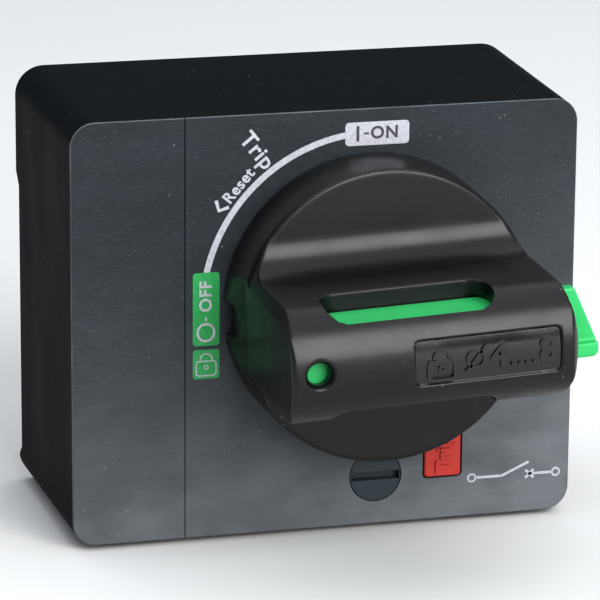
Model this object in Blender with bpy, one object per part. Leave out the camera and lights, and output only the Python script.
"""Direct rotary-handle front unit of a motor protection breaker.

X runs to the right, Y into the depth (the front faces -Y) and Z up. The origin is at the bottom centre
of the whole unit. Sizes are in metres. Section drawings are laid out as (x, z) seen from the front.
"""

import math

import bmesh
import bpy
from mathutils import Matrix, Vector

MM = 0.001
GAP = 0.3 * MM

# Box
FACE_WIDTH = 105 * MM
FACE_HEIGHT = 87.5 * MM
BOX_DEPTH = 50.4 * MM
DRAFT = 1.0 * MM
FACE_CORNER = 5.0 * MM
WALL = 2.4 * MM
FRONT_WALL = 4.2 * MM
RIM = 1.0 * MM
PLATE_RECESS = 1.6 * MM
PLATE_THICKNESS = 1.3 * MM
PLATE_GAP = 0.2 * MM
PARTING_X = -29.3 * MM
NOTCH_DEPTH = 3.0 * MM
NOTCH_TOP = 20 * MM
NOTCH_BOTTOM = -37 * MM

# Handle, in its own frame: u along the grip, v across it, w out of the face
AXIS_X = 8.98 * MM
AXIS_Z = 4.14 * MM
REST_TILT = math.radians(-2.5)
KNOB_RADIUS = 30.3 * MM
KNOB_DRAFT = 0.25 * MM
KNOB_FLOAT = 0.4 * MM
KNOB_HEIGHT = 13.7 * MM
GRIP_HALF_WIDTH = 11.6 * MM
GRIP_HEIGHT = 46.8 * MM
CREST_RISE = 9.7 * MM
GRIP_FILLET = 7.0 * MM
GRIP_INSET = 0.45 * MM
END_FLAT = -28.5 * MM
POINTER_DEPTH = 1.4 * MM
SLOT_LEFT = -19.8 * MM
SLOT_RIGHT = 13.8 * MM
SLOT_LOW = 31.8 * MM
SLOT_HIGH = 43.4 * MM
SLIDE_LEFT = -25.6 * MM
SLIDE_RIGHT = 26 * MM
SLIDE_HALF_WIDTH = 8.0 * MM
TAB_LOW = 30.2 * MM
TAB_HIGH = 33.2 * MM
TAB_BOTTOM = -6.2 * MM

# Drive
SHAFT_RADIUS = 5.0 * MM
MODULE = 2.0 * MM
PINION_TEETH = 16
PRESSURE_ANGLE = math.radians(20)
PITCH_RADIUS = MODULE * PINION_TEETH / 2
BACKLASH = 0.25 * MM
ADDENDUM = 1.8 * MM
DEDENDUM = 2.3 * MM
GEAR_FRONT = 27 * MM
GEAR_REAR = 33 * MM
CHASSIS_FRONT = 24 * MM
CHASSIS_REAR = 25.5 * MM
ROD_RADIUS = 1.5 * MM
ROD_XS = (-14 * MM, -24 * MM)
ROD_DEPTH = 30.1 * MM

# Controls in the front
BUTTON_X = 25.1 * MM
BUTTON_Z = -29.95 * MM
BUTTON_WIDTH = 7.8 * MM
BUTTON_HEIGHT = 9.5 * MM
SCREW_X = 10.8 * MM
SCREW_Z = -33.5 * MM
SCREW_RADIUS = 5.4 * MM

# Fasteners
POSTS = ((-31 * MM, -32 * MM), (-31 * MM, 34 * MM), (40 * MM, -32 * MM), (40 * MM, 34 * MM))
MOUNT_X = -41 * MM
MOUNT_Z = 28 * MM

# The unit's origin, seen from the centre of the face
ORIGIN = Vector((0, (BOX_DEPTH - GRIP_HEIGHT) / 2, -FACE_HEIGHT / 2 - DRAFT))


def clear_scene():
    for obj in list(bpy.data.objects):
        bpy.data.objects.remove(obj, do_unlink=True)


def material(name, colour, roughness, metallic=0.0):
    made = bpy.data.materials.new(name)
    made.use_nodes = True
    shader = made.node_tree.nodes["Principled BSDF"]
    shader.inputs["Base Color"].default_value = (*colour, 1)
    shader.inputs["Roughness"].default_value = roughness
    shader.inputs["Metallic"].default_value = metallic
    made.diffuse_color = (*colour, 1)
    return made


def place(name, shape, look, at=(0, 0, 0), parent=None, smooth=30):
    """Adds an object at a point measured from the centre of the face, or from its parent."""
    mesh = bpy.data.meshes.new(name)
    bmesh.ops.recalc_face_normals(shape, faces=shape.faces)
    shape.to_mesh(mesh)
    shape.free()
    mesh.materials.append(look)
    mesh.shade_smooth()
    mesh.set_sharp_from_angle(angle=math.radians(smooth))
    obj = bpy.data.objects.new(name, mesh)
    bpy.context.scene.collection.objects.link(obj)
    obj.parent = parent
    obj.location = Vector(at) if parent else Vector(at) - ORIGIN
    return obj


def pivot(name, at, tilt=0.0):
    empty = bpy.data.objects.new(name, None)
    bpy.context.scene.collection.objects.link(empty)
    empty.empty_display_size = 0.01
    empty.location = Vector(at) - ORIGIN
    empty.rotation_euler.y = tilt
    return empty


def boolean(obj, operation, shape):
    """Cuts a shape from an object, or joins it on. The shape is in the object's own coordinates."""
    mesh = bpy.data.meshes.new(obj.name + "_tool")
    bmesh.ops.recalc_face_normals(shape, faces=shape.faces)
    shape.to_mesh(mesh)
    shape.free()
    tool = bpy.data.objects.new(mesh.name, mesh)
    bpy.context.scene.collection.objects.link(tool)
    tool.parent = obj
    tool.hide_render = True
    tool.display_type = "WIRE"
    modifier = obj.modifiers.new(operation.title(), "BOOLEAN")
    modifier.operation = operation
    modifier.object = tool


def cut(obj, shape):
    boolean(obj, "DIFFERENCE", shape)


def add(obj, shape):
    boolean(obj, "UNION", shape)


def loft(rings, closed=False):
    """A solid through rings of points. Its ends are capped, or joined to each other when closed."""
    shape = bmesh.new()
    loops = [[shape.verts.new(point) for point in ring] for ring in rings]
    count = len(loops[0])
    pairs = list(zip(loops, loops[1:]))
    if closed:
        pairs.append((loops[-1], loops[0]))
    for first, second in pairs:
        for i in range(count):
            j = (i + 1) % count
            shape.faces.new((first[i], first[j], second[j], second[i]))
    if not closed:
        shape.faces.new(loops[0])
        shape.faces.new(loops[-1])
    return shape


def prism(outline, front, rear):
    """An outline of (x, z) points, extruded in depth."""
    return loft([[(x, y, z) for x, z in outline] for y in (front, rear)])


def box(x0, x1, front, rear, z0, z1):
    return prism([(x0, z0), (x1, z0), (x1, z1), (x0, z1)], front, rear)


def arc(cx, cz, radius, start, end, steps):
    """Points along an arc, with its angles in degrees."""
    angles = [math.radians(start + (end - start) * i / steps) for i in range(steps + 1)]
    return [(cx + radius * math.cos(a), cz + radius * math.sin(a)) for a in angles]


def circle(radius, sides, cx=0.0, cz=0.0):
    return arc(cx, cz, radius, 0, 360 * (sides - 1) / sides, sides - 1)


def rounded(x0, x1, z0, z1, radius, steps=5):
    """A rectangle with rounded corners."""
    outline = []
    corners = ((x1, z1, 0), (x0, z1, 90), (x0, z0, 180), (x1, z0, 270))
    for x, z, start in corners:
        cx = x - radius if x == x1 else x + radius
        cz = z - radius if z == z1 else z + radius
        outline += arc(cx, cz, radius, start, start + 90, steps)
    return outline


def rounded_loft(sections, steps=5):
    """A solid through (depth, half width, half height, corner radius) sections."""
    rings = []
    for y, half_x, half_z, radius in sections:
        outline = rounded(-half_x, half_x, -half_z, half_z, radius, steps)
        rings.append([(x, y, z) for x, z in outline])
    return loft(rings)


def turned(profile, sides, closed=False):
    """A solid turned about the Y axis from (radius, depth) points."""
    rings = [[(x, y, z) for x, z in circle(radius, sides)] for radius, y in profile]
    return loft(rings, closed)


def upright(radius, low, high, sides):
    """A bar along the Z axis."""
    return loft([[(x, y, z) for x, y in circle(radius, sides)] for z in (low, high)])


def tube(outer, inner, front, rear, sides):
    profile = [(outer, front), (outer, rear), (inner, rear), (inner, front)]
    return turned(profile, sides, closed=True)


def moved(shape, x=0.0, y=0.0, z=0.0):
    bmesh.ops.translate(shape, vec=(x, y, z), verts=shape.verts)
    return shape


def make_housing(look):
    half_x = FACE_WIDTH / 2
    half_z = FACE_HEIGHT / 2
    edge = 0.35 * MM
    outer = [
        (0, half_x - edge, half_z - edge, FACE_CORNER - edge),
        (edge, half_x, half_z, FACE_CORNER),
        (BOX_DEPTH, half_x + DRAFT, half_z + DRAFT, FACE_CORNER + DRAFT),
    ]
    housing = place("housing", rounded_loft(outer, 6), look)
    inner_x = half_x - WALL
    inner_z = half_z - WALL
    past = BOX_DEPTH + 1 * MM
    hollow = [(FRONT_WALL, inner_x, inner_z, 3 * MM), (past, inner_x + DRAFT, inner_z + DRAFT, 4 * MM)]
    cut(housing, rounded_loft(hollow))
    recess = [(y, half_x - RIM, half_z - RIM, 4 * MM) for y in (-1 * MM, PLATE_RECESS)]
    cut(housing, rounded_loft(recess, 6))
    add(housing, moved(turned([(7.2 * MM, 3 * MM), (7.2 * MM, 7.5 * MM)], 24), SCREW_X, 0, SCREW_Z))
    for x, z in POSTS:
        add(housing, moved(turned([(4 * MM, 3 * MM), (3.6 * MM, CHASSIS_FRONT - GAP)], 16), x, 0, z))
        cut(housing, moved(turned([(1.7 * MM, 12 * MM), (1.7 * MM, 25 * MM)], 12), x, 0, z))
    for z in (MOUNT_Z, -MOUNT_Z):
        add(housing, moved(turned([(6 * MM, 3 * MM), (5 * MM, 44 * MM)], 20), MOUNT_X, 0, z))
        head = [(4.2 * MM, 1 * MM), (4.2 * MM, 5.5 * MM)]
        shank = [(2.2 * MM, 5.5 * MM), (2.2 * MM, 45 * MM)]
        cut(housing, moved(turned(head + shank, 20), MOUNT_X, 0, z))
    cut(housing, moved(turned([(9.2 * MM, 1 * MM), (9.2 * MM, 5 * MM)], 32), AXIS_X, 0, AXIS_Z))
    bore = [(SCREW_RADIUS + 0.25 * MM, 1 * MM), (SCREW_RADIUS + 0.25 * MM, 3.9 * MM)]
    bore += [(3.05 * MM, 3.9 * MM), (3.05 * MM, 8 * MM)]
    cut(housing, moved(turned(bore, 32), SCREW_X, 0, SCREW_Z))
    cut(housing, button_opening(1 * MM, 5 * MM))
    left = -half_x - 5 * MM
    notch_front = BOX_DEPTH - NOTCH_DEPTH
    notch = [(notch_front, NOTCH_TOP), (past, NOTCH_TOP + NOTCH_DEPTH + 1 * MM)]
    notch += [(past, NOTCH_BOTTOM - NOTCH_DEPTH - 1 * MM), (notch_front, NOTCH_BOTTOM)]
    cut(housing, loft([[(x, y, z) for y, z in notch] for x in (left, left + 10 * MM)]))
    return housing


def button_opening(front, rear):
    half_x = BUTTON_WIDTH / 2 + GAP
    half_z = BUTTON_HEIGHT / 2 + GAP
    opening = prism(rounded(-half_x, half_x, -half_z, half_z, 1.1 * MM, 3), front, rear)
    return moved(opening, BUTTON_X, 0, BUTTON_Z)


def make_front_plates(look):
    half_x = FACE_WIDTH / 2 - RIM - PLATE_GAP
    half_z = FACE_HEIGHT / 2 - RIM - PLATE_GAP
    corner = 3.8 * MM
    edge = PARTING_X + PLATE_GAP / 2
    outline = [(edge, half_z), (edge, -half_z)]
    outline += arc(half_x - corner, -half_z + corner, corner, -90, 0, 6)
    outline += arc(half_x - corner, half_z - corner, corner, 0, 90, 6)
    plate = place("front_plate", prism(outline, 0, PLATE_THICKNESS), look)
    cut(plate, moved(turned([(9.6 * MM, -1 * MM), (9.6 * MM, 2 * MM)], 32), AXIS_X, 0, AXIS_Z))
    hole = SCREW_RADIUS + 0.25 * MM
    cut(plate, moved(turned([(hole, -1 * MM), (hole, 2 * MM)], 32), SCREW_X, 0, SCREW_Z))
    cut(plate, button_opening(-1 * MM, 2 * MM))
    edge = PARTING_X - PLATE_GAP / 2
    outline = [(edge, -half_z), (edge, half_z)]
    outline += arc(-half_x + corner, half_z - corner, corner, 90, 180, 6)
    outline += arc(-half_x + corner, -half_z + corner, corner, 180, 270, 6)
    place("strip_cover", prism(outline, 0, PLATE_THICKNESS), look)


def make_fixings(steel):
    for number, (x, z) in enumerate(POSTS, 1):
        rear = CHASSIS_REAR + GAP
        profile = [(1.4 * MM, 14 * MM), (1.4 * MM, rear), (3.1 * MM, rear)]
        profile += [(3.1 * MM, rear + 1.4 * MM), (2.2 * MM, rear + 2.1 * MM)]
        screw = place(f"chassis_screw_{number}", turned(profile, 16), steel, (x, 0, z))
        cut(screw, box(-2 * MM, 2 * MM, rear + 1.1 * MM, rear + 3 * MM, -0.4 * MM, 0.4 * MM))
    for name, z in (("mounting_screw_upper", MOUNT_Z), ("mounting_screw_lower", -MOUNT_Z)):
        profile = [(3.2 * MM, 2.1 * MM), (3.8 * MM, 2.7 * MM), (3.8 * MM, 5.2 * MM)]
        profile += [(1.9 * MM, 5.2 * MM), (1.9 * MM, 48.4 * MM), (1.4 * MM, 49 * MM)]
        screw = place(name, turned(profile, 16), steel, (MOUNT_X, 0, z))
        cut(screw, box(-2.6 * MM, 2.6 * MM, 1 * MM, 3.5 * MM, -0.5 * MM, 0.5 * MM))


def make_chassis(steel):
    """Steel plate with two tabs bent to the rear, which hold the guide rods' ends."""
    outline = [(-34.6 * MM, -36.5 * MM), (44 * MM, -36.5 * MM), (46 * MM, -34.5 * MM)]
    outline += [(46 * MM, 37 * MM), (44 * MM, 39 * MM), (-9 * MM, 39 * MM), (-9 * MM, 41.2 * MM)]
    outline += [(-29 * MM, 41.2 * MM), (-29 * MM, 39 * MM), (-34.6 * MM, 39 * MM)]
    plate = place("chassis_plate", prism(outline, CHASSIS_FRONT, CHASSIS_REAR), steel)
    for low, high in ((39.9 * MM, 41.2 * MM), (-36.5 * MM, -35.2 * MM)):
        add(plate, box(-29 * MM, -9 * MM, CHASSIS_FRONT + 0.5 * MM, 34 * MM, low, high))
        for x in ROD_XS:
            hole = upright(ROD_RADIUS + 0.15 * MM, low - 0.5 * MM, high + 0.5 * MM, 16)
            cut(plate, moved(hole, x, ROD_DEPTH))
    cut(plate, moved(turned([(5.3 * MM, 20 * MM), (5.3 * MM, 30 * MM)], 32), AXIS_X, 0, AXIS_Z))
    cut(plate, moved(turned([(2.1 * MM, 20 * MM), (2.1 * MM, 30 * MM)], 16), BUTTON_X, 0, BUTTON_Z))
    for x, z in POSTS:
        cut(plate, moved(turned([(1.7 * MM, 20 * MM), (1.7 * MM, 30 * MM)], 12), x, 0, z))
    for name, x in (("guide_rod_inner", ROD_XS[0]), ("guide_rod_outer", ROD_XS[1])):
        place(name, upright(ROD_RADIUS, -37.4 * MM, 41.3 * MM, 24), steel, (x, ROD_DEPTH, 0))


def grip_section():
    """Half of the grip's section as (v, w) points, from the knob's disc up to the crest."""
    half = [(GRIP_HALF_WIDTH + GRIP_FILLET, KNOB_HEIGHT - 4 * MM)]
    cx = GRIP_HALF_WIDTH + GRIP_FILLET
    cz = KNOB_HEIGHT + GRIP_FILLET
    half += arc(cx, cz, GRIP_FILLET, 270, 180, 8)
    shoulder = GRIP_HEIGHT - CREST_RISE
    for i in range(1, 9):
        angle = math.radians(i * 90 / 8)
        half.append((GRIP_HALF_WIDTH * math.cos(angle), shoulder + CREST_RISE * math.sin(angle)))
    return half


def make_handle(look, hub):
    """Knob and grip in one piece. In its own coordinates u is X, v is Z and w is -Y."""
    edge = 0.7 * MM
    knob = [(KNOB_RADIUS + KNOB_DRAFT, -KNOB_FLOAT), (KNOB_RADIUS, -KNOB_HEIGHT + edge)]
    knob += [(KNOB_RADIUS - edge * 0.3, -KNOB_HEIGHT + edge * 0.3), (KNOB_RADIUS - edge, -KNOB_HEIGHT)]
    handle = place("handle", turned(knob, 72), look, parent=hub)
    half = grip_section()
    section = half + [(-v, w) for v, w in reversed(half[:-1])]
    reach = KNOB_RADIUS + 4 * MM
    grip = loft([[(u, -w, v) for v, w in section] for u in (-reach, reach)])
    boolean(handle, "UNION", grip)
    low = GRIP_HEIGHT + 3 * MM
    end = KNOB_RADIUS - GRIP_INSET
    trim = [(KNOB_RADIUS + KNOB_DRAFT + 0.05 * MM, 1 * MM)]
    trim += [(KNOB_RADIUS + 0.06 * MM, -KNOB_HEIGHT + 0.5 * MM), (end, -KNOB_HEIGHT - 0.8 * MM)]
    trim += [(end, -GRIP_HEIGHT + 8 * MM), (end - 0.6 * MM, -GRIP_HEIGHT + 2 * MM)]
    trim += [(end - 2 * MM, -GRIP_HEIGHT), (KNOB_RADIUS - 8 * MM, -low)]
    boolean(handle, "INTERSECT", turned(trim, 72))
    facet = [(END_FLAT - 6 * MM, -1 * MM), (END_FLAT - 2 * MM, -1 * MM), (END_FLAT, -12 * MM)]
    facet += [(END_FLAT, -low), (END_FLAT - 6 * MM, -low)]
    cut(handle, loft([[(u, y, v) for u, y in facet] for v in (-20 * MM, 20 * MM)]))
    cut(handle, turned([(5.2 * MM, 1 * MM), (5.2 * MM, -12.5 * MM)], 32))
    cut(handle, tube(26.5 * MM, 9 * MM, 1 * MM, -10.5 * MM, 40))
    side = SLIDE_HALF_WIDTH + GAP
    cut(handle, box(SLIDE_LEFT - GAP, KNOB_RADIUS + 5 * MM, -SLOT_HIGH, -SLOT_LOW, -side, side))
    cut(handle, box(18 * MM, KNOB_RADIUS + 5 * MM, -SLOT_LOW - 1 * MM, -TAB_LOW + GAP, -side, side))
    slot = rounded(SLOT_LEFT, SLOT_RIGHT, -SLOT_HIGH, -SLOT_LOW, 4.2 * MM, 4)
    cut(handle, loft([[(u, y, v) for u, y in slot] for v in (-20 * MM, 20 * MM)]))
    peep = [(2.25 * MM, -GRIP_HEIGHT + 6 * MM), (2.25 * MM, -GRIP_HEIGHT + 1.3 * MM)]
    peep += [(3.3 * MM, -GRIP_HEIGHT - 0.3 * MM), (3.3 * MM, -GRIP_HEIGHT - 1 * MM)]
    cut(handle, moved(turned(peep, 24), -23 * MM, 0, 0))
    label = rounded(-4 * MM, 25.3 * MM, -4.6 * MM, 4.6 * MM, 1 * MM, 3)
    cut(handle, prism(label, -GRIP_HEIGHT - 2 * MM, -GRIP_HEIGHT + 1.4 * MM))
    pointer = [(-3.5 * MM, 2 * MM), (-3.5 * MM, -4.5 * MM)]
    pointer += [(x, -4.5 * MM - z) for x, z in reversed(arc(0, 0, 3.5 * MM, 0, 180, 6))][1:]
    pointer += [(3.5 * MM, 2 * MM)]
    rear = KNOB_RADIUS + 2 * MM
    cut(handle, loft([[(-u, y, v) for v, y in pointer] for u in (KNOB_RADIUS - POINTER_DEPTH, rear)]))
    return handle


def make_slide(look, rail):
    """Padlock slide: a bar that fills the grip's slot, and a thinner pull tab with a slanted end."""
    side = SLIDE_HALF_WIDTH
    bar = box(SLIDE_LEFT, SLIDE_RIGHT, -SLOT_HIGH + GAP, -SLOT_LOW - GAP, -side, side)
    slide = place("lock_slide", bar, look, parent=rail)
    foot = TAB_BOTTOM
    tab = [(20 * MM, 7.8 * MM), (20 * MM, foot), (36 * MM, foot)]
    tab += [(36.9 * MM, foot + 0.9 * MM), (36.9 * MM, foot + 3.1 * MM), (32.6 * MM, 7.8 * MM)]
    add(slide, prism(tab, -TAB_HIGH, -TAB_LOW))
    lip = [(20.5 * MM, foot), (36 * MM, foot), (36.9 * MM, foot + 0.9 * MM)]
    lip += [(36.9 * MM, foot + 2.9 * MM), (20.5 * MM, foot + 2.9 * MM)]
    add(slide, prism(lip, -TAB_HIGH - 1.6 * MM, -TAB_LOW - 1 * MM))


def make_drive(steel, plastic, hub):
    """Shaft, pinion and retaining ring, which all turn with the handle."""
    shaft = [(4.4 * MM, -12 * MM), (SHAFT_RADIUS, -11.4 * MM)]
    shaft += [(SHAFT_RADIUS, 38.4 * MM), (4.4 * MM, 39 * MM)]
    place("drive_shaft", turned(shaft, 48), steel, parent=hub)
    pinion = place("drive_pinion", prism(pinion_outline(), GEAR_FRONT, GEAR_REAR), plastic, parent=hub)
    add(pinion, turned([(8 * MM, GEAR_REAR - 1 * MM), (8 * MM, 36 * MM)], 32))
    cut(pinion, turned([(5.15 * MM, 20 * MM), (5.15 * MM, 40 * MM)], 32))
    place("shaft_retainer", tube(7.5 * MM, 5.15 * MM, 36.4 * MM, 37.6 * MM, 32), steel, parent=hub)


def involute(angle):
    return math.tan(angle) - angle


def pinion_outline():
    """Involute teeth, with a gap where the rack meets the pinion. The hub's rest tilt is taken out."""
    base = PITCH_RADIUS * math.cos(PRESSURE_ANGLE)
    root = PITCH_RADIUS - DEDENDUM
    tip = PITCH_RADIUS + ADDENDUM
    half_pitch = (math.pi * MODULE / 2 - BACKLASH) / 2 / PITCH_RADIUS
    flank = [(root, half_pitch + involute(PRESSURE_ANGLE))]
    for i in range(5):
        radius = base + (tip - base) * i / 4
        spread = half_pitch + involute(PRESSURE_ANGLE) - involute(math.acos(min(1, base / radius)))
        flank.append((radius, spread))
    outline = []
    for tooth in range(PINION_TEETH):
        centre = 2 * math.pi * (tooth + 0.5) / PINION_TEETH + REST_TILT
        for radius, spread in flank:
            outline.append((radius * math.cos(centre - spread), radius * math.sin(centre - spread)))
        for radius, spread in reversed(flank):
            outline.append((radius * math.cos(centre + spread), radius * math.sin(centre + spread)))
    return outline


def make_carriage(plastic, steel, dark):
    """Rack on two rods, and the fork that it carries, at the handle's OFF position."""
    pitch_x = AXIS_X - PITCH_RADIUS
    pitch = math.pi * MODULE
    slope = math.tan(PRESSURE_ANGLE)
    half = (pitch / 2 - BACKLASH) / 2
    bottom = AXIS_Z - 5.5 * pitch
    outline = [(-27.4 * MM, bottom), (pitch_x - DEDENDUM, bottom)]
    for tooth in range(-5, 2):
        z = AXIS_Z + tooth * pitch
        outline.append((pitch_x - DEDENDUM, z - half - DEDENDUM * slope))
        outline.append((pitch_x + ADDENDUM, z - half + ADDENDUM * slope))
        outline.append((pitch_x + ADDENDUM, z + half - ADDENDUM * slope))
        outline.append((pitch_x - DEDENDUM, z + half + DEDENDUM * slope))
    top = AXIS_Z + 1.5 * pitch
    outline += [(pitch_x - DEDENDUM, top), (-27.4 * MM, top)]
    carriage = place("toggle_carriage", prism(outline, GEAR_FRONT, GEAR_REAR), plastic)
    for x in ROD_XS:
        hole = upright(ROD_RADIUS + 0.06 * MM, bottom - 1 * MM, top + 1 * MM, 24)
        cut(carriage, moved(hole, x, ROD_DEPTH))
    fork = place("toggle_fork", box(-27 * MM, -1.5 * MM, 33.3 * MM, 36.3 * MM, -19 * MM, 0), dark)
    for low in (-19 * MM, -3.5 * MM):
        add(fork, box(-12 * MM, -1.5 * MM, 35 * MM, 47.5 * MM, low, low + 3.5 * MM))
    for name, z in (("fork_screw_upper", -4.5 * MM), ("fork_screw_lower", -14.5 * MM)):
        cut(carriage, moved(turned([(1.5 * MM, 28.4 * MM), (1.5 * MM, 34 * MM)], 12), -19 * MM, 0, z))
        cut(fork, moved(turned([(1.5 * MM, 30 * MM), (1.5 * MM, 38 * MM)], 12), -19 * MM, 0, z))
        profile = [(1.2 * MM, 29 * MM), (1.2 * MM, 36.6 * MM), (2.6 * MM, 36.6 * MM)]
        profile += [(2.6 * MM, 37.8 * MM), (1.9 * MM, 38.4 * MM)]
        screw = place(name, turned(profile, 16), steel, (-19 * MM, 0, z))
        cut(screw, box(-1.7 * MM, 1.7 * MM, 37.5 * MM, 39 * MM, -0.35 * MM, 0.35 * MM))


def make_trip(red, steel):
    half_x = BUTTON_WIDTH / 2
    half_z = BUTTON_HEIGHT / 2
    cap = []
    for y, inset in ((-0.3 * MM, 0.3 * MM), (0, 0), (5 * MM, 0)):
        outline = rounded(-half_x + inset, half_x - inset, -half_z + inset, half_z - inset, 0.9 * MM, 3)
        cap.append([(x, y, z) for x, z in outline])
    button = place("trip_button", loft(cap), red, (BUTTON_X, 0, BUTTON_Z))
    wide = 1.2 * MM
    flange = rounded(-half_x - wide, half_x + wide, -half_z - wide, half_z + wide, 1.5 * MM, 3)
    add(button, prism(flange, 4.6 * MM, 6.2 * MM))
    add(button, turned([(2.4 * MM, 6 * MM), (2.4 * MM, 19.5 * MM)], 20))
    cut(button, turned([(1.75 * MM, 15 * MM), (1.75 * MM, 21 * MM)], 16))
    rod = [(1.5 * MM, 15.4 * MM), (1.5 * MM, 43.6 * MM), (1.1 * MM, 44 * MM)]
    place("trip_rod", turned(rod, 16), steel, (BUTTON_X, 0, BUTTON_Z))
    place("trip_spring", coil(3.3 * MM, 0.35 * MM, 6.9 * MM, 23.3 * MM, 6), steel, (BUTTON_X, 0, BUTTON_Z))


def coil(radius, wire, front, rear, turns):
    """A helical spring about the Y axis."""
    rings = []
    steps = turns * 14
    for i in range(steps + 1):
        angle = 2 * math.pi * turns * i / steps
        y = front + (rear - front) * i / steps
        ring = []
        for k in range(6):
            around = 2 * math.pi * k / 6
            reach = radius + wire * math.cos(around)
            ring.append((reach * math.cos(angle), y + wire * math.sin(around), reach * math.sin(angle)))
        rings.append(ring)
    return loft(rings)


def make_release(plastic, steel):
    screw = [(SCREW_RADIUS - 0.3 * MM, 0.1 * MM), (SCREW_RADIUS, 0.4 * MM), (SCREW_RADIUS, 3.6 * MM)]
    screw += [(3 * MM, 3.6 * MM), (3 * MM, 7.9 * MM), (2.2 * MM, 7.9 * MM), (2.2 * MM, 12.5 * MM)]
    body = place("release_screw", turned(screw, 32), plastic, (SCREW_X, 0, SCREW_Z))
    cut(body, box(-5.25 * MM, 5.25 * MM, -1 * MM, 1.9 * MM, -0.7 * MM, 0.7 * MM))
    arm = arc(0, 0, 4.4 * MM, 150, 390, 14) + arc(0, 5 * MM, 2 * MM, 0, 180, 6)
    cam = place("release_cam", prism(arm, 8.3 * MM, 11.3 * MM), steel, (SCREW_X, 0, SCREW_Z))
    cut(cam, turned([(2.35 * MM, 7 * MM), (2.35 * MM, 13 * MM)], 20))


def make_bushing(look):
    profile = [(5.06 * MM, 0.4 * MM), (9 * MM, 0.4 * MM), (9 * MM, 4.5 * MM), (11.5 * MM, 4.5 * MM)]
    profile += [(11.5 * MM, 6.5 * MM), (8 * MM, 6.5 * MM), (8 * MM, 12 * MM), (5.06 * MM, 12 * MM)]
    place("shaft_bushing", turned(profile, 48, closed=True), look, (AXIS_X, 0, AXIS_Z))


def main():
    clear_scene()
    shell = material("housing_plastic", (0.013, 0.015, 0.018), 0.35)
    face = material("front_plastic", (0.045, 0.052, 0.062), 0.5)
    knob = material("handle_plastic", (0.014, 0.014, 0.016), 0.38)
    green = material("slide_green", (0.05, 0.5, 0.16), 0.45)
    red = material("button_red", (0.62, 0.05, 0.035), 0.45)
    screw_black = material("screw_black", (0.02, 0.022, 0.025), 0.45)
    nylon = material("natural_nylon", (0.62, 0.6, 0.52), 0.5)
    dark = material("fork_plastic", (0.03, 0.03, 0.03), 0.5)
    steel = material("zinc_steel", (0.55, 0.56, 0.58), 0.35, 1.0)
    make_housing(shell)
    make_front_plates(face)
    make_fixings(steel)
    make_chassis(steel)
    make_bushing(nylon)
    hub = pivot("handle_axis", (AXIS_X, 0, AXIS_Z), REST_TILT)
    make_handle(knob, hub)
    make_slide(green, hub)
    make_drive(steel, nylon, hub)
    make_carriage(nylon, steel, dark)
    make_trip(red, steel)
    make_release(screw_black, steel)


main()
